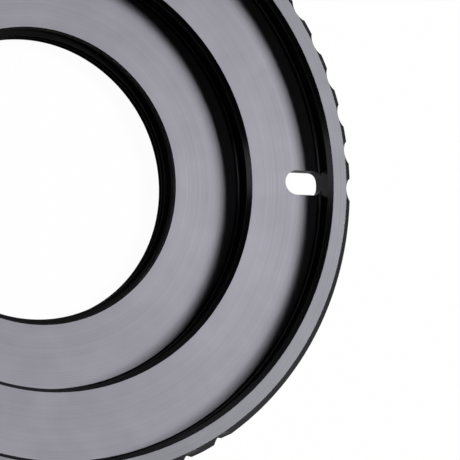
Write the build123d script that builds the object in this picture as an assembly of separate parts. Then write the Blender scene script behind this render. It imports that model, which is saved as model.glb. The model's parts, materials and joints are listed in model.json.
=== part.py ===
from build123d import *
import os

# A lens mount adapter, turned and milled from one piece of aluminium. The lens screws into the
# threaded bore at the bottom of a stepped dish. The camera takes the three lugs behind the flange.
# +Z is the optical axis and points towards the lens. The origin is the centre of the rear face.
# Sizes are in millimetres and angles in degrees, counter-clockwise from +X, where the lock slot lies.

# Diameters and wall of the turned body
body_diameter = 54.6
recess_diameter = 37.3
thread_diameter = 25.4
rim_wall = 2.07

# Heights and depths along the axis, from the rim's face down
dish_depth = 2.15
recess_depth = 2.15
web_thickness = 2.3
dish_floor_thickness = 1.1

# Edges of the turned body. The nose of the tool rounds the foot of the two inner walls.
rim_edge_width = 0.52
rim_edge_height = 0.75
inner_edge_break = 0.37
thread_mouth = 0.16
rear_edge_break = 0.25
tool_nose_radius = 0.4

# Grip notches, milled down the outside of the rim in equal groups
notch_places = 54
notch_groups = 3
notches_in_group = 11
notch_depth = 0.57
notch_cutter_diameter = 2.0

# Slot for the camera's lock pin, through the floor of the dish
slot_width = 2.1
slot_length = 3.4
slot_under_rim = 0.17

# Bayonet collar and lugs behind the flange. The camera's bayonet ring goes between flange and lugs.
collar_wall = 1.55
camera_ring_space = 2.05
lug_count = 3
lug_reach = 1.2
lug_angle = 54.0
lug_first_angle = 36.0
lug_edge_break = 0.3
lug_ramp_length = 3.5
lug_ramp_drop = 0.35

body_radius = body_diameter / 2
rim_bore_radius = body_radius - rim_wall
recess_radius = recess_diameter / 2
thread_radius = thread_diameter / 2
collar_radius = recess_radius + collar_wall

seat_z = web_thickness
dish_z = seat_z + recess_depth
face_z = dish_z + dish_depth
flange_z = dish_z - dish_floor_thickness
lug_z = flange_z - camera_ring_space


def turned_section():
    """Half of the section through the axis, with the tool's radius at the foot of the inner walls."""
    wall_feet = [(recess_radius, seat_z), (rim_bore_radius, dish_z)]
    section = [
        (thread_radius, rear_edge_break),
        (thread_radius, seat_z - thread_mouth),
        (thread_radius + thread_mouth, seat_z),
        wall_feet[0],
        (recess_radius, dish_z - inner_edge_break),
        (recess_radius + inner_edge_break, dish_z),
        wall_feet[1],
        (rim_bore_radius, face_z - inner_edge_break),
        (rim_bore_radius + inner_edge_break, face_z),
        (body_radius - rim_edge_width, face_z),
        (body_radius, face_z - rim_edge_height),
        (body_radius, flange_z + rear_edge_break),
        (body_radius - rear_edge_break, flange_z),
        (collar_radius, flange_z),
        (collar_radius, rear_edge_break),
        (collar_radius - rear_edge_break, 0),
        (thread_radius + rear_edge_break, 0),
    ]
    face = make_face(Polyline([(r, 0, z) for r, z in section], close=True))
    feet = [face.vertices().sort_by_distance((r, 0, z))[0] for r, z in wall_feet]
    return fillet(feet, tool_nose_radius)


def turned_body():
    """The body as it leaves the lathe: bore, seat, dish, rim, flange and collar in one piece."""
    return revolve(turned_section(), Axis.Z)


def grip_notches():
    """Round-bottomed cuts along the rim's outside, the groups standing evenly round the body."""
    pitch = 360 / notch_places
    cutter_radius = notch_cutter_diameter / 2
    cutter = Cylinder(
        radius=cutter_radius,
        height=face_z,
        align=(Align.CENTER, Align.CENTER, Align.MIN),
    )
    cutter_place = body_radius - notch_depth + cutter_radius
    cuts = []
    for group in range(notch_groups):
        first = group * 360 / notch_groups + pitch / 2
        for index in range(notches_in_group):
            turn = Rot(0, 0, first + index * pitch)
            cuts.append(turn * Pos(cutter_place, 0, 0) * cutter)
    return cuts


def lock_slot():
    """A round-ended slot along +X, milled from behind until it is through the rounded foot of the rim."""
    outer_end = rim_bore_radius + slot_under_rim
    outline = Pos(outer_end - slot_length / 2, 0, 0) * SlotOverall(slot_length, slot_width)
    return extrude(outline, amount=dish_z + tool_nose_radius)


def lug_ramp(tip_radius):
    """The wedge milled off a lug's leading end, so that it slides in behind the camera's ring."""
    outline = Polyline(
        [
            (0, 0, lug_z - lug_ramp_drop),
            (0, lug_ramp_length, lug_z),
            (0, 0, lug_z + lug_ramp_drop),
        ],
        close=True,
    )
    return extrude(make_face(outline), amount=tip_radius, dir=(1, 0, 0))


def bayonet_lug():
    """One lug of the camera side, a ring segment that starts inside the collar's wall."""
    tip_radius = collar_radius + lug_reach
    root_radius = collar_radius - collar_wall / 2
    section = [
        (root_radius, rear_edge_break),
        (collar_radius, 0),
        (tip_radius - lug_edge_break, 0),
        (tip_radius, lug_edge_break),
        (tip_radius, lug_z),
        (root_radius, lug_z),
    ]
    outline = Polyline([(r, 0, z) for r, z in section], close=True)
    segment = revolve(make_face(outline), Axis.Z, revolution_arc=lug_angle)
    return Rot(0, 0, -lug_angle / 2) * (segment - lug_ramp(tip_radius))


def bayonet_lugs():
    """The lugs, evenly spaced round the collar."""
    lug = bayonet_lug()
    return [Rot(0, 0, lug_first_angle + index * 360 / lug_count) * lug for index in range(lug_count)]


def adapter_body():
    """The finished adapter: turned, lugs left standing, then notched and slotted."""
    body = turned_body() + bayonet_lugs()
    return body - grip_notches() - lock_slot()


os.makedirs("parts", exist_ok=True)
export_step(adapter_body(), "parts/adapter_body.step")
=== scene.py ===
"""The looks of a one-piece lens mount adapter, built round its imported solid.

The adapter is a stepped ring of black anodised aluminium. The ring is made again here, in the place of
its solid and with its grip notches as the picture shows them, and gets a satin turned finish. The fine
thread in its bore is a piece of its own. Lengths are in metres, and angles in degrees, counter-clockwise
round the optical axis (+Z) from the lock slot (+X).
"""

import json
import logging
import math
from dataclasses import dataclass
from enum import Enum

import bpy
from mathutils import Matrix, Vector


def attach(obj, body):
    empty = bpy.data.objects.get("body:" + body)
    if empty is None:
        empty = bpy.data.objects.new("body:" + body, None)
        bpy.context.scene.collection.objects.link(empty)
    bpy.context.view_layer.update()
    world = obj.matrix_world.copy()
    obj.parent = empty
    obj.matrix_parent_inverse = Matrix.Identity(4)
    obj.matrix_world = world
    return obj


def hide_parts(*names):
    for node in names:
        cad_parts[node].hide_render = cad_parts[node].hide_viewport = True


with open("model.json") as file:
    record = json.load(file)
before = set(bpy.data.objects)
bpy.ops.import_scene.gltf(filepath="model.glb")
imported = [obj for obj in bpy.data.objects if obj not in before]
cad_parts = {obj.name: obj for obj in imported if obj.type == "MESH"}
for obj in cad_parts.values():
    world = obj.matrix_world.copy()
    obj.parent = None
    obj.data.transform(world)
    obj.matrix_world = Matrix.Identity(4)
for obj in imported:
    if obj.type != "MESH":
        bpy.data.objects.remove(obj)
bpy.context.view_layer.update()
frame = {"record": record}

log = logging.getLogger("adapter")

Colour = tuple[float, float, float]
Levels = tuple[float, float]
Outline = list[tuple[float, float]]

MM = 0.001
BODY = "root"
OPTICAL_AXIS = Vector((0.0, 0.0, 1.0))
WHITE: Colour = (1.0, 1.0, 1.0)
FULL_TURN = 360.0
QUARTER_TURN = 90.0
SMOOTH_BELOW = 25.0
SAME_POINT = 0.0005 * MM
NOISE_MIDDLE = 0.5


class Socket(Enum):
    """The kinds of socket that the effects have."""

    NUMBER = "NodeSocketFloat"
    VECTOR = "NodeSocketVector"


class Direction(Enum):
    """Whether an effect's socket takes a value in or puts one out."""

    IN = "INPUT"
    OUT = "OUTPUT"


class Sum(Enum):
    """What a Math node works out."""

    ADD = "ADD"
    SUBTRACT = "SUBTRACT"
    MULTIPLY = "MULTIPLY"
    MULTIPLY_ADD = "MULTIPLY_ADD"
    DIVIDE = "DIVIDE"
    POWER = "POWER"
    ROOT = "SQRT"
    ABSOLUTE = "ABSOLUTE"
    LARGER = "MAXIMUM"


class Combination(Enum):
    """What a Boolean does to a piece with its tool."""

    JOIN = "UNION"
    CUT = "DIFFERENCE"
    KEEP_INSIDE = "INTERSECT"


class NodeSheet:
    """A node tree that is being wired, with short calls for its nodes and links."""

    # A Mix node has the sockets of all its kinds, and those for colours are found by number.
    mix_inputs = (0, 6, 7)
    mix_output = 2

    def __init__(self, tree: bpy.types.NodeTree) -> None:
        """Takes the tree that the nodes go into."""
        self.tree = tree

    @classmethod
    def emptied(cls, owner: bpy.types.Material | bpy.types.World) -> "NodeSheet":
        """Opens the tree of a new material or world, with nothing in it.

        Args:
            owner: The material or the world.

        Returns:
            The sheet of its tree.
        """
        owner.use_nodes = True
        owner.node_tree.nodes.clear()
        return cls(owner.node_tree)

    def add(self, kind: str, **settings: object) -> bpy.types.Node:
        """Adds a node.

        Args:
            kind: The node's type name.
            settings: The node's own properties.

        Returns:
            The new node.
        """
        node = self.tree.nodes.new(kind)
        for name, value in settings.items():
            setattr(node, name, value)
        return node

    def feed(self, node: bpy.types.Node, socket: str | int, value: object) -> None:
        """Links an output to a node's input, or sets that input's own value.

        Args:
            node: The node that is fed.
            socket: The input's name or number.
            value: An output, a number, or a colour without its alpha.
        """
        target = node.inputs[socket]
        if isinstance(value, bpy.types.NodeSocket):
            self.tree.links.new(value, target)
        elif target.type == "RGBA":
            target.default_value = (*value, 1.0)
        else:
            target.default_value = value

    def place(self, group: bpy.types.NodeTree, **values: float) -> bpy.types.Node:
        """Places a node group.

        Args:
            group: The group.
            values: The values of its inputs here.

        Returns:
            The group's node.
        """
        node = self.add("ShaderNodeGroup", node_tree=group)
        for name, value in values.items():
            self.feed(node, name, value)
        return node

    def math(self, operation: Sum, *values: object) -> bpy.types.NodeSocket:
        """Adds a Math node.

        Args:
            operation: What it works out.
            values: Outputs or numbers, in the order of its inputs.

        Returns:
            The result.
        """
        node = self.add("ShaderNodeMath", operation=operation.value)
        for index, value in enumerate(values):
            self.feed(node, index, value)
        return node.outputs[0]

    def ramp(self, value: object, low: float, high: float, to_low: float = 0.0,
             to_high: float = 1.0) -> bpy.types.NodeSocket:
        """Adds a smooth Map Range.

        Args:
            value: What is mapped.
            low: The value that gives to_low.
            high: The value that gives to_high.
            to_low: The result at low.
            to_high: The result at high.

        Returns:
            The mapped output.
        """
        node = self.add("ShaderNodeMapRange", interpolation_type="SMOOTHSTEP")
        sockets = ("Value", "From Min", "From Max", "To Min", "To Max")
        for socket, given in zip(sockets, (value, low, high, to_low, to_high)):
            self.feed(node, socket, given)
        return node.outputs["Result"]

    def mix(self, share: object, first: object, second: object) -> bpy.types.NodeSocket:
        """Mixes two colours.

        Args:
            share: The second colour's share.
            first: The first colour.
            second: The second colour.

        Returns:
            The mixed colour.
        """
        node = self.add("ShaderNodeMix", data_type="RGBA")
        for socket, value in zip(self.mix_inputs, (share, first, second)):
            self.feed(node, socket, value)
        return node.outputs[self.mix_output]

    def noise(self, along: bpy.types.NodeSocket, scale: object, detail: float,
              roughness: float = 0.5) -> bpy.types.NodeSocket:
        """Adds a Noise texture in space or along a running number.

        Args:
            along: A place in space, or a running number.
            scale: How many features there are to a unit.
            detail: How many finer layers are laid over the first.
            roughness: How strong the finer layers are.

        Returns:
            The noise, which is NOISE_MIDDLE on average.
        """
        in_space = along.type == "VECTOR"
        node = self.add("ShaderNodeTexNoise", noise_dimensions="3D" if in_space else "1D")
        self.feed(node, "Vector" if in_space else "W", along)
        self.feed(node, "Scale", scale)
        self.feed(node, "Detail", detail)
        self.feed(node, "Roughness", roughness)
        return node.outputs[0]

    def piece_place(self) -> bpy.types.NodeSocket:
        """Gives the place on the piece, in the shared frame."""
        return self.add("ShaderNodeTexCoord").outputs["Object"]

    def split(self, vector: bpy.types.NodeSocket) -> tuple[bpy.types.NodeSocket, ...]:
        """Splits a vector.

        Args:
            vector: The vector.

        Returns:
            Its X, Y and Z.
        """
        node = self.add("ShaderNodeSeparateXYZ")
        self.feed(node, 0, vector)
        return tuple(node.outputs)


class Effect:
    """An effect that more than one finish uses: a node group, built once and then found by its name."""

    name: str
    sockets: tuple[tuple[str, Direction, Socket], ...]

    def wire(self, sheet: NodeSheet, given: bpy.types.Node, result: bpy.types.Node) -> None:
        """Wires the group from its inputs to its outputs, as each effect does in its own way.

        Args:
            sheet: The sheet of the group's tree.
            given: The node that holds the group's inputs.
            result: The node that takes the group's outputs.
        """
        raise NotImplementedError

    def group(self) -> bpy.types.NodeTree:
        """Finds the group, or builds it.

        Returns:
            The node group.
        """
        found = bpy.data.node_groups.get(self.name)
        if found:
            return found
        tree = bpy.data.node_groups.new(self.name, "ShaderNodeTree")
        for label, direction, kind in self.sockets:
            tree.interface.new_socket(label, in_out=direction.value, socket_type=kind.value)
        sheet = NodeSheet(tree)
        self.wire(sheet, sheet.add("NodeGroupInput"), sheet.add("NodeGroupOutput"))
        return tree


@dataclass(frozen=True)
class TurningMarks(Effect):
    """The fine rings that the lathe tool leaves: their height, and a tone that follows them."""

    name: str = "turning_marks"
    sockets: tuple[tuple[str, Direction, Socket], ...] = (
        ("Feed", Direction.IN, Socket.NUMBER),
        ("Waviness", Direction.IN, Socket.NUMBER),
        ("Height", Direction.OUT, Socket.NUMBER),
        ("Tone", Direction.OUT, Socket.NUMBER),
    )
    wave_scale: float = 60.0
    wave_detail: float = 1.0
    ring_scale: float = 1.0
    ring_detail: float = 2.0
    ring_roughness: float = 0.6
    band_scale: float = 0.12
    band_detail: float = 3.0
    ring_share: float = 0.5

    def wire(self, sheet: NodeSheet, given: bpy.types.Node, result: bpy.types.Node) -> None:
        """Counts the tool's turns outwards and down the walls, and gives each turn its height.

        Args:
            sheet: The sheet of the group's tree.
            given: The node with the inputs Feed and Waviness.
            result: The node that takes Height and Tone.
        """
        place = sheet.piece_place()
        x, y, z = sheet.split(place)
        squares = (sheet.math(Sum.POWER, x, 2.0), sheet.math(Sum.POWER, y, 2.0))
        radius = sheet.math(Sum.ROOT, sheet.math(Sum.ADD, *squares))
        path = sheet.math(Sum.SUBTRACT, radius, z)
        wave = sheet.noise(place, self.wave_scale, self.wave_detail)
        path = sheet.math(Sum.ADD, path, sheet.math(Sum.MULTIPLY, wave, given.outputs["Waviness"]))
        turns = sheet.math(Sum.DIVIDE, path, given.outputs["Feed"])
        rings = sheet.noise(turns, self.ring_scale, self.ring_detail, self.ring_roughness)
        bands = sheet.noise(turns, self.band_scale, self.band_detail)
        both = sheet.math(Sum.ADD, rings, bands)
        sheet.feed(result, "Height", rings)
        sheet.feed(result, "Tone", sheet.math(Sum.MULTIPLY, both, self.ring_share))


@dataclass(frozen=True)
class EdgeBreak(Effect):
    """Softened edges: the eased normal, and a mask of the edges themselves."""

    name: str = "edge_break"
    sockets: tuple[tuple[str, Direction, Socket], ...] = (
        ("Radius", Direction.IN, Socket.NUMBER),
        ("Normal", Direction.OUT, Socket.VECTOR),
        ("Mask", Direction.OUT, Socket.NUMBER),
    )
    samples: int = 6
    agreement: Levels = (0.995, 0.93)

    def wire(self, sheet: NodeSheet, given: bpy.types.Node, result: bpy.types.Node) -> None:
        """Eases the normal, and marks where it no longer agrees with the face's own.

        Args:
            sheet: The sheet of the group's tree.
            given: The node with the input Radius.
            result: The node that takes Normal and Mask.
        """
        eased = sheet.add("ShaderNodeBevel", samples=self.samples)
        sheet.feed(eased, "Radius", given.outputs["Radius"])
        agree = sheet.add("ShaderNodeVectorMath", operation="DOT_PRODUCT")
        sheet.feed(agree, 0, eased.outputs[0])
        sheet.feed(agree, 1, sheet.add("ShaderNodeNewGeometry").outputs["Normal"])
        sheet.feed(result, "Normal", eased.outputs[0])
        sheet.feed(result, "Mask", sheet.ramp(agree.outputs["Value"], *self.agreement))


@dataclass(frozen=True)
class DyePatches(Effect):
    """The soft patches in which the anodising took a little more or less dye, as a tone round 1."""

    name: str = "anodising_patches"
    sockets: tuple[tuple[str, Direction, Socket], ...] = (
        ("Scale", Direction.IN, Socket.NUMBER),
        ("Spread", Direction.IN, Socket.NUMBER),
        ("Tone", Direction.OUT, Socket.NUMBER),
    )
    detail: float = 2.0

    def wire(self, sheet: NodeSheet, given: bpy.types.Node, result: bpy.types.Node) -> None:
        """Spreads a noise in space to both sides of 1.

        Args:
            sheet: The sheet of the group's tree.
            given: The node with the inputs Scale and Spread.
            result: The node that takes Tone.
        """
        cloud = sheet.noise(sheet.piece_place(), given.outputs["Scale"], self.detail)
        off_middle = sheet.math(Sum.SUBTRACT, cloud, NOISE_MIDDLE)
        sheet.feed(result, "Tone", sheet.math(Sum.MULTIPLY_ADD, off_middle, given.outputs["Spread"], 1.0))


@dataclass(frozen=True)
class AnodisedFinish:
    """Satin black anodising on turned aluminium, pale where it is level. Walls and bevels get a
    near-black colour that is painted shade, and edges a lighter one that is a painted highlight.
    """

    name: str
    face_colour: Colour = (0.338, 0.331, 0.370)
    rim_colour: Colour = (0.296, 0.295, 0.324)
    # Painted shade: the near-black colour that walls and bevels get in place of the face colour.
    wall_shade_colour: Colour = (0.045, 0.045, 0.048)
    # Painted highlight: the lighter colour laid over the edges as a glint.
    edge_glint_colour: Colour = (0.16, 0.16, 0.17)
    grazing_tint: Colour = (0.38, 0.38, 0.38)
    face_roughness: float = 0.74
    wall_roughness: float = 0.24
    roughness_spread: float = 0.06
    tone_spread: float = 0.025
    patch_scale: float = 340.0
    patch_spread: float = 0.2
    # How much of the painted edge highlight the edges get.
    edge_glint_share: float = 0.35
    edge_radius: float = 0.04 * MM
    feed: float = 0.09 * MM
    waviness: float = 0.02 * MM
    mark_strength: float = 0.05
    mark_depth: float = 0.01 * MM
    anisotropy: float = 0.6
    anisotropy_turn: float = 0.25
    flat_levels: Levels = (0.975, 0.998)
    rim_levels: Levels = (5.4 * MM, 6.2 * MM)
    tone_levels: Levels = (0.3, 0.7)
    height_levels: Levels = (0.2, 0.8)

    def flat_share(self, sheet: NodeSheet) -> bpy.types.NodeSocket:
        """Tells the level faces from the walls and bevels.

        Args:
            sheet: The material's sheet.

        Returns:
            A mask that is 1 on level faces.
        """
        facing = sheet.split(sheet.add("ShaderNodeNewGeometry").outputs["True Normal"])
        return sheet.ramp(sheet.math(Sum.ABSOLUTE, facing[2]), *self.flat_levels)

    def colour(self, sheet: NodeSheet, flat: bpy.types.NodeSocket, edge: bpy.types.NodeSocket,
               tones: tuple[bpy.types.NodeSocket, bpy.types.NodeSocket]) -> bpy.types.NodeSocket:
        """Mixes the colour of faces and rim with the painted shade of walls and bevels and the painted
        highlight of edges, and varies its tone.

        Args:
            sheet: The material's sheet.
            flat: The mask of the level faces.
            edge: The mask of the edges.
            tones: The tones of the turning marks and of the dye.

        Returns:
            The colour.
        """
        rim = sheet.ramp(sheet.split(sheet.piece_place())[2], *self.rim_levels)
        face = sheet.mix(rim, self.face_colour, self.rim_colour)
        # Painted shade: walls and bevels take the near-black colour.
        base = sheet.mix(flat, self.wall_shade_colour, face)
        # Painted highlight: the edges are lightened towards the edge colour.
        glinted = sheet.mix(sheet.math(Sum.MULTIPLY, edge, self.edge_glint_share), base, self.edge_glint_colour)
        spread = (1.0 - self.tone_spread, 1.0 + self.tone_spread)
        marked = sheet.ramp(tones[0], *self.tone_levels, *spread)
        toned = sheet.add("ShaderNodeVectorMath", operation="SCALE")
        sheet.feed(toned, 0, glinted)
        sheet.feed(toned, "Scale", sheet.math(Sum.MULTIPLY, marked, tones[1]))
        return toned.outputs[0]

    def roughness(self, sheet: NodeSheet, flat: bpy.types.NodeSocket,
                  height: bpy.types.NodeSocket) -> bpy.types.NodeSocket:
        """Mixes the roughness of faces and walls, and varies it with the turning marks.

        Args:
            sheet: The material's sheet.
            flat: The mask of the level faces.
            height: The height of the turning marks.

        Returns:
            The roughness.
        """
        extra = self.face_roughness - self.wall_roughness
        base = sheet.math(Sum.MULTIPLY_ADD, flat, extra, self.wall_roughness)
        spread = (1.0 - self.roughness_spread, 1.0 + self.roughness_spread)
        return sheet.math(Sum.MULTIPLY, base, sheet.ramp(height, *self.height_levels, *spread))

    def relief(self, sheet: NodeSheet, height: bpy.types.NodeSocket,
               eased: bpy.types.NodeSocket) -> bpy.types.NodeSocket:
        """Raises the turning marks over the eased normal.

        Args:
            sheet: The material's sheet.
            height: The height of the turning marks.
            eased: The normal with softened edges.

        Returns:
            The normal.
        """
        bump = sheet.add("ShaderNodeBump")
        sheet.feed(bump, "Strength", self.mark_strength)
        sheet.feed(bump, "Distance", self.mark_depth)
        sheet.feed(bump, "Height", height)
        sheet.feed(bump, "Normal", eased)
        return bump.outputs[0]

    def material(self) -> bpy.types.Material:
        """Finds the material, or builds it.

        Returns:
            The finished material.
        """
        found = bpy.data.materials.get(self.name)
        if found:
            return found
        made = bpy.data.materials.new(self.name)
        sheet = NodeSheet.emptied(made)
        edges = sheet.place(EdgeBreak().group(), Radius=self.edge_radius).outputs
        marks = sheet.place(TurningMarks().group(), Feed=self.feed, Waviness=self.waviness).outputs
        dye = sheet.place(DyePatches().group(), Scale=self.patch_scale, Spread=self.patch_spread).outputs
        flat = self.flat_share(sheet)
        tangent = sheet.add("ShaderNodeTangent", direction_type="RADIAL", axis="Z")
        shader = sheet.add("ShaderNodeBsdfPrincipled")
        tones = (marks["Tone"], dye["Tone"])
        sheet.feed(shader, "Base Color", self.colour(sheet, flat, edges["Mask"], tones))
        sheet.feed(shader, "Metallic", 1.0)
        sheet.feed(shader, "Specular Tint", self.grazing_tint)
        sheet.feed(shader, "Roughness", self.roughness(sheet, flat, marks["Height"]))
        sheet.feed(shader, "Anisotropic", self.anisotropy)
        sheet.feed(shader, "Anisotropic Rotation", self.anisotropy_turn)
        sheet.feed(shader, "Tangent", tangent.outputs[0])
        sheet.feed(shader, "Normal", self.relief(sheet, marks["Height"], edges["Normal"]))
        sheet.feed(sheet.add("ShaderNodeOutputMaterial"), "Surface", shader.outputs[0])
        return made


BODY_FINISH = AnodisedFinish("satin_black_anodising")
# Painted shade in the bore: the thread and the bore's wall and mouth get darker colours than the body,
# and a fainter painted highlight on their edges.
SHADED_BORE_FINISH = AnodisedFinish(
    "shaded_thread_anodising",
    face_colour=(0.045, 0.045, 0.048),
    wall_shade_colour=(0.02, 0.02, 0.0213),
    wall_roughness=0.45,
    edge_glint_share=0.12,
)


def deselect_all() -> None:
    """Leaves nothing selected, so that an operator acts on the new piece alone."""
    for thing in bpy.context.selected_objects:
        thing.select_set(False)


def closed_outline(name: str, corners: Outline) -> bpy.types.Object:
    """Draws a closed outline in the half-plane of the section, at y = 0.

    Args:
        name: The new object's name.
        corners: The outline's radii and heights, in order.

    Returns:
        The outline as a mesh object of edges alone, which is active.
    """
    deselect_all()
    bpy.ops.mesh.primitive_circle_add(vertices=len(corners), radius=1.0, fill_type="NOTHING")
    outline = bpy.context.object
    outline.name = name
    for vertex, (radius, height) in zip(outline.data.vertices, corners):
        vertex.co = (radius, 0.0, height)
    return outline


def face_outwards() -> None:
    """Turns all faces of the piece that is in edit mode outwards."""
    bpy.ops.mesh.select_all(action="SELECT")
    bpy.ops.mesh.normals_make_consistent(inside=False)


def turn_outline(outline: bpy.types.Object, degrees: float, steps: int) -> None:
    """Turns an outline about the optical axis into a closed solid.

    A full turn meets itself. A shorter one starts from a filled outline, which gives it its two ends.

    Args:
        outline: The outline, which becomes the solid.
        degrees: How far it turns, counter-clockwise.
        steps: The number of steps.
    """
    bpy.context.view_layer.objects.active = outline
    bpy.ops.object.mode_set(mode="EDIT")
    bpy.ops.mesh.select_all(action="SELECT")
    if degrees < FULL_TURN:
        bpy.ops.mesh.edge_face_add()
    bpy.ops.mesh.spin(
        steps=steps,
        angle=math.radians(degrees),
        center=(0, 0, 0),
        axis=(0, 0, -1),
        dupli=False,
    )
    bpy.ops.mesh.select_all(action="SELECT")
    bpy.ops.mesh.remove_doubles(threshold=SAME_POINT)
    face_outwards()
    bpy.ops.object.mode_set(mode="OBJECT")


def turned_copies(first: bpy.types.Object, angles: list[float]) -> bpy.types.Object:
    """Copies a piece round the optical axis and joins the copies.

    Args:
        first: The piece to copy, which is used up.
        angles: The copies' angles round the axis.

    Returns:
        The joined copies as one object.
    """
    copies = []
    for angle in angles:
        copy = first.copy()
        copy.data = first.data.copy()
        copy.data.transform(Matrix.Rotation(math.radians(angle), 4, "Z"))
        bpy.context.scene.collection.objects.link(copy)
        copies.append(copy)
    bpy.data.objects.remove(first)
    deselect_all()
    for copy in copies:
        copy.select_set(True)
    bpy.context.view_layer.objects.active = copies[0]
    bpy.ops.object.join()
    return copies[0]


def combine(piece: bpy.types.Object, tool: bpy.types.Object, combination: Combination) -> None:
    """Applies a Boolean of one piece to another and removes the tool.

    Args:
        piece: The piece that keeps its name and takes the result, and is then the selected one.
        tool: The piece that is joined to it, cut from it or laid over it.
        combination: What the Boolean does.
    """
    deselect_all()
    piece.select_set(True)
    bpy.context.view_layer.objects.active = piece
    step = piece.modifiers.new("combine", "BOOLEAN")
    step.operation = combination.value
    step.solver = "EXACT"
    step.object = tool
    bpy.ops.object.modifier_apply(modifier=step.name)
    bpy.data.objects.remove(tool)


def dress(piece: bpy.types.Object, *finishes: AnodisedFinish) -> None:
    """Smooths a piece's round faces and gives it its materials.

    Args:
        piece: The piece, which is the selected one.
        finishes: Its finishes, in the order of its material slots.
    """
    bpy.ops.object.shade_smooth_by_angle(angle=math.radians(SMOOTH_BELOW))
    piece.data.materials.clear()
    for finish in finishes:
        piece.data.materials.append(finish.material())


@dataclass
class AdapterBody:
    """The turned and milled ring: stepped dish, grip rim, lock slot and bayonet collar in one piece.

    The notches stand in one row. The picture shows its two ends with the plain arc between them, and the
    rest follows from the pitch. The steps of ring, lugs and cutters are numbers whose corners don't meet,
    so that the Booleans leave a closed mesh.
    """

    node: str = "adapter_body"
    name: str = "turned_adapter_body"
    rim_radius: float = 27.29 * MM
    rim_bore_radius: float = 25.23 * MM
    recess_radius: float = 18.65 * MM
    thread_radius: float = 12.7 * MM
    collar_radius: float = 20.2 * MM
    face_z: float = 6.6 * MM
    dish_z: float = 4.45 * MM
    flange_z: float = 3.35 * MM
    seat_z: float = 2.3 * MM
    rim_edge_width: float = 0.52 * MM
    rim_edge_height: float = 0.52 * MM
    inner_edge_break: float = 0.37 * MM
    thread_mouth: float = 0.16 * MM
    rear_edge_break: float = 0.25 * MM
    tool_nose_radius: float = 0.4 * MM
    nose_steps: int = 6
    segments: int = 352
    notch_pitch: float = 6.778
    notch_count: int = 46
    first_notch: float = -1.6
    notch_depth: float = 0.535 * MM
    notch_cutter_radius: float = 1.15 * MM
    notch_cutter_steps: int = 64
    notch_cutter_lift: float = 0.8
    slot_width: float = 2.1 * MM
    slot_length: float = 3.23 * MM
    slot_end: float = 25.28 * MM
    slot_end_depth: float = 0.88 * MM
    slot_squareness: float = 2.6
    slot_cutter_steps: int = 96
    lug_angles: tuple[float, ...] = (36.0, 156.0, 276.0)
    lug_span: float = 54.0
    lug_steps: int = 50
    lug_reach: float = 1.2 * MM
    lug_root_depth: float = 0.775 * MM
    lug_z: float = 1.3 * MM
    lug_edge_break: float = 0.3 * MM
    lug_ramp_length: float = 3.5 * MM
    lug_ramp_drop: float = 0.35 * MM
    slack: float = 0.001 * MM
    level_limit: float = 0.9
    finish: AnodisedFinish = BODY_FINISH
    # The bore's darker finish, which is painted shade.
    shaded_bore_finish: AnodisedFinish = SHADED_BORE_FINISH

    def wall_foot(self, radius: float, level: float) -> Outline:
        """Rounds the foot of an inner wall as the nose of the tool does.

        Args:
            radius: The wall's radius.
            level: The floor's height.

        Returns:
            The arc's radii and heights, from the floor up.
        """
        nose = self.tool_nose_radius
        centre_radius, centre_z = radius - nose, level + nose
        arc = []
        for step in range(self.nose_steps + 1):
            turn = math.radians(QUARTER_TURN * step / self.nose_steps)
            arc.append((centre_radius + nose * math.sin(turn), centre_z - nose * math.cos(turn)))
        return arc

    def section(self) -> Outline:
        """Lists the corners of the turned section, from the bore outwards and back along the rear.

        Returns:
            The corners' radii and heights.
        """
        rear = self.rear_edge_break
        ease = self.inner_edge_break
        return [
            (self.thread_radius, rear),
            (self.thread_radius, self.seat_z - self.thread_mouth),
            (self.thread_radius + self.thread_mouth, self.seat_z),
            *self.wall_foot(self.recess_radius, self.seat_z),
            (self.recess_radius, self.dish_z - ease),
            (self.recess_radius + ease, self.dish_z),
            *self.wall_foot(self.rim_bore_radius, self.dish_z),
            (self.rim_bore_radius, self.face_z - ease),
            (self.rim_bore_radius + ease, self.face_z),
            (self.rim_radius - self.rim_edge_width, self.face_z),
            (self.rim_radius, self.face_z - self.rim_edge_height),
            (self.rim_radius, self.flange_z + rear),
            (self.rim_radius - rear, self.flange_z),
            (self.collar_radius, self.flange_z),
            (self.collar_radius, rear),
            (self.collar_radius - rear, 0.0),
            (self.thread_radius + rear, 0.0),
        ]

    def lugs(self) -> bpy.types.Object:
        """Makes the bayonet lugs, each with the ramp on its leading end.

        Returns:
            The lugs as one object.
        """
        tip = self.collar_radius + self.lug_reach
        root = self.collar_radius - self.lug_root_depth
        lug = closed_outline("bayonet_lug", [
            (root, self.rear_edge_break),
            (self.collar_radius - self.rear_edge_break / 2, 0.0),
            (tip - self.lug_edge_break, 0.0),
            (tip, self.lug_edge_break),
            (tip, self.lug_z),
            (root, self.lug_z),
        ])
        turn_outline(lug, self.lug_span, self.lug_steps)
        for vertex in lug.data.vertices:
            left = 1.0 - vertex.co.y / self.lug_ramp_length
            if vertex.co.z > self.lug_z - self.slack and left > 0.0:
                vertex.co.z -= self.lug_ramp_drop * left
        return turned_copies(lug, [angle - self.lug_span / 2 for angle in self.lug_angles])

    def notch_cutters(self) -> bpy.types.Object:
        """Makes the cutters of the grip notches, which reach from below the flange to above the face.

        Returns:
            The cutters as one object.
        """
        deselect_all()
        place = self.rim_radius - self.notch_depth + self.notch_cutter_radius
        bpy.ops.mesh.primitive_cylinder_add(
            vertices=self.notch_cutter_steps,
            radius=self.notch_cutter_radius,
            depth=self.face_z,
            location=(place, 0.0, self.face_z * self.notch_cutter_lift),
        )
        cutter = bpy.context.object
        bpy.ops.object.transform_apply(location=True)
        angles = [self.first_notch + index * self.notch_pitch for index in range(self.notch_count)]
        return turned_copies(cutter, angles)

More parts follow.
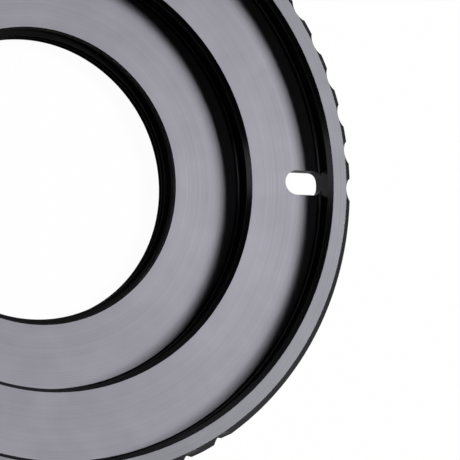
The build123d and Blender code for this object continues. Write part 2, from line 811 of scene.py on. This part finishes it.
    def slot_cutter(self) -> bpy.types.Object:
        """Makes the cutter of the lock slot, round at its inner end and squarer at its outer one.

        Returns:
            The cutter.
        """
        deselect_all()
        half = self.slot_width / 2
        start = self.slot_end - self.slot_length + half
        top = self.dish_z + self.tool_nose_radius
        bpy.ops.mesh.primitive_cylinder_add(
            vertices=self.slot_cutter_steps,
            radius=half,
            depth=2 * top,
            location=(start, 0.0, 0.0),
        )
        cutter = bpy.context.object
        bpy.ops.object.transform_apply(location=True)
        for vertex in cutter.data.vertices:
            if vertex.co.x > start + self.slack:
                across = (abs(vertex.co.y) / half) ** self.slot_squareness
                bulge = (1.0 - across) ** (1.0 / self.slot_squareness)
                vertex.co.x = self.slot_end - self.slot_end_depth * (1.0 - bulge)
        return cutter

    def in_bore(self, face: bpy.types.MeshPolygon) -> bool:
        """Tells whether a face belongs to the bore's wall or its mouth.

        Args:
            face: The face.

        Returns:
            True if it does.
        """
        inside = face.center.xy.length < self.thread_radius + self.thread_mouth
        return inside and abs(face.normal.z) < self.level_limit

    def build(self) -> bpy.types.Object:
        """Makes the ring and puts it in the place of its plain solid.

        Returns:
            The finished ring.
        """
        ring = closed_outline(self.name, self.section())
        turn_outline(ring, FULL_TURN, self.segments)
        combine(ring, self.lugs(), Combination.JOIN)
        combine(ring, self.notch_cutters(), Combination.CUT)
        combine(ring, self.slot_cutter(), Combination.CUT)
        dress(ring, self.finish, self.shaded_bore_finish)
        # The bore's wall and mouth take the shaded bore finish, which is painted shade.
        for face in ring.data.polygons:
            face.material_index = int(self.in_bore(face))
        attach(ring, BODY)
        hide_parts(self.node)
        return ring


@dataclass
class LensThread:
    """The fine ridge that the lens screws into, from a lip at the bottom to a lead-in cone at the mouth.

    Its rings have another number of steps than its winding, so that their corners don't meet in the
    Booleans.
    """

    major_radius: float
    mouth_z: float
    low_z: float = 0.1 * MM
    ridge_height: float = 0.5 * MM
    mouth_cone: float = 0.16 * MM
    pitch: float = 25.4 / 32 * MM
    start_drop: float = 0.27 * MM
    spare_turns: int = 2
    root_width: float = 0.62 * MM
    crest_width: float = 0.1 * MM
    root_sink: float = 0.05 * MM
    lip_radius: float = 12.19 * MM
    lip_low_z: float = 0.02 * MM
    lip_high_z: float = 0.2 * MM
    lip_low_sink: float = 0.26 * MM
    segments: int = 240
    ring_segments: int = 236
    name: str = "lens_thread"
    # The thread takes the shaded bore finish, which is painted shade.
    finish: AnodisedFinish = SHADED_BORE_FINISH

    @classmethod
    def from_record(cls) -> "LensThread":
        """Sizes the thread from the record's mounts.

        Returns:
            The thread, not yet built.
        """
        bore, seat = mount("lens_thread"), mount("lens_seat")
        return cls(major_radius=bore["dims"]["r_mm"] * MM, mouth_z=seat["pos_m"][2])

    def profile(self) -> Outline:
        """Lists the corners of the ridge's profile where its winding starts, below the bore.

        Returns:
            The corners' radii and heights, the outer pair sunk into the bore's wall.
        """
        outer = self.major_radius + self.root_sink
        crest = self.major_radius - self.ridge_height
        half_root, half_crest = self.root_width / 2, self.crest_width / 2
        slope = (half_root - half_crest) / self.ridge_height
        half_sunk = half_root + self.root_sink * slope
        start = self.low_z - self.pitch - self.start_drop
        return [
            (outer, start - half_sunk),
            (outer, start + half_sunk),
            (crest, start + half_crest),
            (crest, start - half_crest),
        ]

    def ridge(self) -> bpy.types.Object:
        """Winds the ridge's profile up the bore.

        Returns:
            The ridge, still longer than the bore.
        """
        corners = self.profile()
        ridge = closed_outline(self.name, corners)
        screw = ridge.modifiers.new("wind", "SCREW")
        screw.axis = "Z"
        screw.angle = math.tau
        screw.screw_offset = self.pitch
        screw.iterations = math.ceil((self.mouth_z - self.low_z) / self.pitch) + self.spare_turns
        screw.steps = screw.render_steps = self.segments
        screw.use_merge_vertices = False
        bpy.ops.object.modifier_apply(modifier=screw.name)
        bpy.ops.object.mode_set(mode="EDIT")
        bpy.ops.mesh.select_all(action="DESELECT")
        bpy.ops.mesh.select_mode(type="EDGE")
        bpy.ops.mesh.select_non_manifold()
        bpy.ops.mesh.fill_holes(sides=len(corners))
        face_outwards()
        bpy.ops.object.mode_set(mode="OBJECT")
        return ridge

    def ring(self, name: str, corners: Outline) -> bpy.types.Object:
        """Turns an outline all round the bore.

        Args:
            name: The new object's name.
            corners: The outline's radii and heights, in order.

        Returns:
            The closed ring.
        """
        made = closed_outline(name, corners)
        turn_outline(made, FULL_TURN, self.ring_segments)
        return made

    def sleeve(self) -> bpy.types.Object:
        """Turns the ring that the ridge is cut to: the bore's height, with its lead-in cone.

        Returns:
            The sleeve.
        """
        outer = self.major_radius + 2 * self.root_sink
        inner = self.major_radius - self.ridge_height - self.root_sink
        mouth_radius = self.major_radius + self.mouth_cone
        return self.ring("bore_sleeve", [
            (outer, self.low_z),
            (outer, self.mouth_z - (mouth_radius - outer)),
            (inner, self.mouth_z - (mouth_radius - inner)),
            (inner, self.low_z),
        ])

    def lip(self) -> bpy.types.Object:
        """Turns the plain lip that the ridge ends in at the rear of the bore.

        Returns:
            The lip, sunk into the body all round.
        """
        low_radius = self.major_radius + self.lip_low_sink
        return self.ring("bore_lip", [
            (self.lip_radius, self.lip_low_z),
            (self.lip_radius, self.lip_high_z),
            (low_radius - (self.lip_high_z - self.lip_low_z), self.lip_high_z),
            (low_radius, self.lip_low_z),
        ])

    def build(self) -> bpy.types.Object:
        """Makes the thread: the ridge, cut to the sleeve and joined to the lip.

        Returns:
            The finished thread.
        """
        thread = self.ridge()
        combine(thread, self.sleeve(), Combination.KEEP_INSIDE)
        combine(thread, self.lip(), Combination.JOIN)
        dress(thread, self.finish)
        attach(thread, BODY)
        return thread


def from_axis(azimuth: float, off_axis: float) -> Vector:
    """Gives the direction that leaves the optical axis by an angle.

    Args:
        azimuth: Angle round the axis, from the lock slot.
        off_axis: Angle away from the axis.

    Returns:
        The unit direction.
    """
    turn, tilt = math.radians(azimuth), math.radians(off_axis)
    return Vector((math.sin(tilt) * math.cos(turn), math.sin(tilt) * math.sin(turn), math.cos(tilt)))


@dataclass(frozen=True)
class StudioFloor:
    """A plain pale floor that shows white behind the adapter, keeps its shadow and is clear from below.

    It lies a little below the adapter, so that the two don't share a level.
    """

    half_size: float = 3.0
    gap: float = 0.03 * MM
    colour: Colour = (0.86, 0.86, 0.86)
    white_share: float = 0.97

    def paper(self) -> bpy.types.Material:
        """Makes the floor's material.

        Returns:
            The material.
        """
        made = bpy.data.materials.new("pale_floor")
        sheet = NodeSheet.emptied(made)
        paper = sheet.add("ShaderNodeBsdfDiffuse")
        sheet.feed(paper, "Color", self.colour)
        white = sheet.add("ShaderNodeEmission")
        sheet.feed(white, "Color", WHITE)
        path = sheet.add("ShaderNodeLightPath").outputs
        seen = sheet.math(Sum.LARGER, path["Is Camera Ray"], path["Is Glossy Ray"])
        seen = sheet.math(Sum.LARGER, seen, path["Is Transmission Ray"])
        blend = sheet.add("ShaderNodeMixShader")
        sheet.feed(blend, 0, sheet.math(Sum.MULTIPLY, seen, self.white_share))
        sheet.feed(blend, 1, paper.outputs[0])
        sheet.feed(blend, 2, white.outputs[0])
        open_below = sheet.add("ShaderNodeMixShader")
        sheet.feed(open_below, 0, sheet.add("ShaderNodeNewGeometry").outputs["Backfacing"])
        sheet.feed(open_below, 1, blend.outputs[0])
        sheet.feed(open_below, 2, sheet.add("ShaderNodeBsdfTransparent").outputs[0])
        sheet.feed(sheet.add("ShaderNodeOutputMaterial"), "Surface", open_below.outputs[0])
        return made

    def build(self) -> bpy.types.Object:
        """Makes the floor.

        Returns:
            The floor.
        """
        deselect_all()
        bpy.ops.mesh.primitive_plane_add(size=2 * self.half_size, location=(0.0, 0.0, -self.gap))
        floor = bpy.context.object
        floor.name = "studio_floor"
        floor.data.materials.append(self.paper())
        return floor


@dataclass(frozen=True)
class Softbox:
    """A large soft lamp that looks at the adapter."""

    name: str
    azimuth: float
    off_axis: float
    width: float
    height: float
    level: float
    distance: float = 1.0

    def build(self) -> bpy.types.Object:
        """Makes the lamp, with the power that lights a level surface to its level.

        Returns:
            The lamp.
        """
        away = from_axis(self.azimuth, self.off_axis)
        lamp = bpy.data.lights.new(self.name, "AREA")
        lamp.shape = "RECTANGLE"
        lamp.size, lamp.size_y = self.width, self.height
        lamp.energy = self.level * math.pi**2 * self.distance**2 / math.cos(math.radians(self.off_axis))
        made = bpy.data.objects.new(self.name, lamp)
        bpy.context.scene.collection.objects.link(made)
        side = OPTICAL_AXIS.cross(away).normalized()
        turn = Matrix((side, away.cross(side), away)).transposed()
        made.matrix_world = Matrix.Translation(away * self.distance) @ turn.to_4x4()
        made.visible_camera = False
        return made


@dataclass(frozen=True)
class Studio:
    """The floor, the lamps and the room round them."""

    floor: StudioFloor = StudioFloor()
    lamps: tuple[Softbox, ...] = (
        Softbox("key_softbox", azimuth=16.0, off_axis=44.5, width=0.52, height=0.27, level=0.99),
        Softbox("low_card", azimuth=172.0, off_axis=68.0, width=0.26, height=0.2, level=0.0075),
    )
    ceiling: float = 0.006
    horizon: float = 1.0
    horizon_top: float = 6.0
    fade_start: float = 0.5

    def room(self) -> None:
        """Sets the world: a pale band low round the horizon and a dim ceiling."""
        world = bpy.data.worlds.new("studio_room")
        bpy.context.scene.world = world
        sheet = NodeSheet.emptied(world)
        direction = sheet.add("ShaderNodeTexCoord").outputs["Generated"]
        top = math.sin(math.radians(self.horizon_top))
        height = sheet.split(direction)[2]
        glow = sheet.add("ShaderNodeBackground")
        sheet.feed(glow, "Color", WHITE)
        light = sheet.ramp(height, self.fade_start * top, top, self.horizon, self.ceiling)
        sheet.feed(glow, "Strength", light)
        sheet.feed(sheet.add("ShaderNodeOutputWorld"), "Surface", glow.outputs[0])

    def build(self) -> None:
        """Makes the floor, the lamps and the room."""
        self.floor.build()
        for lamp in self.lamps:
            lamp.build()
        self.room()


@dataclass(frozen=True)
class PhotoCamera:
    """The camera at the photograph's viewing angle, given by what it aims at and how it is turned."""

    azimuth: float = 206.6
    off_axis: float = 24.0
    roll: float = -63.8
    distance: float = 1.2
    aim: tuple[float, float, float] = (15.983 * MM, -4.81 * MM, 6.6 * MM)
    frame_width: float = 39.01 * MM
    sensor: float = 36.0

    def build(self) -> bpy.types.Object:
        """Makes the camera and gives it to the scene.

        Returns:
            The camera.
        """
        back = from_axis(self.azimuth, self.off_axis)
        look = -back
        axis_up = (OPTICAL_AXIS - look * look.z).normalized()
        side = look.cross(axis_up)
        turn = math.radians(self.roll)
        up = axis_up * math.cos(turn) + side * math.sin(turn)
        data = bpy.data.cameras.new("photo_camera")
        data.sensor_width = self.sensor
        data.lens = self.sensor * self.distance / self.frame_width
        made = bpy.data.objects.new("photo_camera", data)
        bpy.context.scene.collection.objects.link(made)
        basis = Matrix((look.cross(up), up, back)).transposed()
        made.matrix_world = Matrix.Translation(Vector(self.aim) + back * self.distance) @ basis.to_4x4()
        bpy.context.scene.camera = made
        return made


def mount(name: str) -> dict:
    """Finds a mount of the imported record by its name."""
    return next(m for m in frame["record"]["mounts"] if m["name"] == name)


def main() -> None:
    """Sets up the camera and the studio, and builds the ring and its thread."""
    logging.basicConfig(level=logging.INFO, format="%(name)s: %(message)s")
    bpy.context.scene.view_settings.view_transform = "Standard"
    PhotoCamera().build()
    Studio().build()
    for piece in (AdapterBody().build(), LensThread.from_record().build()):
        log.info("%s has %d faces", piece.name, len(piece.data.polygons))


if __name__ == "__main__":
    main()
